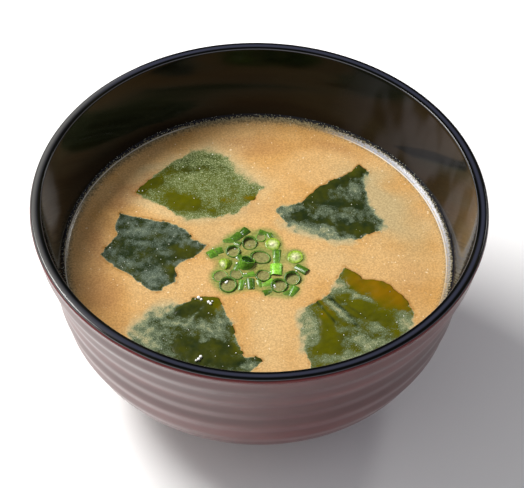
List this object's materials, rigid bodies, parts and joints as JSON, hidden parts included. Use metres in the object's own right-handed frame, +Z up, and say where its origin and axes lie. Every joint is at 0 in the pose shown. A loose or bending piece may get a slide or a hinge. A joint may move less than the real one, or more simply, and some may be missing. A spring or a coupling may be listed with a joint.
{
  "type": "bowl of miso soup",
  "caption": "Miso soup in a round lacquer bowl with a ribbed outside and a foot ring, with torn wakame leaves and a heap of sliced spring onion floating in it.",
  "frame": {"origin": "centre of the foot's flat underside", "axes": "+Z up along the bowl's turning axis; -Y is the side that faces the viewer, and +X is to the right"},
  "size_m": [0.115, 0.115, 0.06],
  "materials": {
    "lacquer": "black gloss lacquer inside and on the lip, mauve-brown satin lacquer outside",
    "broth": null,
    "wakame": null,
    "spring_onion": null
  },
  "bodies": {
    "root": {"bowl": "lacquer", "broth": "broth", "wakame_1": "wakame", "wakame_2": "wakame", "wakame_3": "wakame", "wakame_4": "wakame", "wakame_5": "wakame", "spring_onions": "spring_onion"}
  },
  "joints": []
}
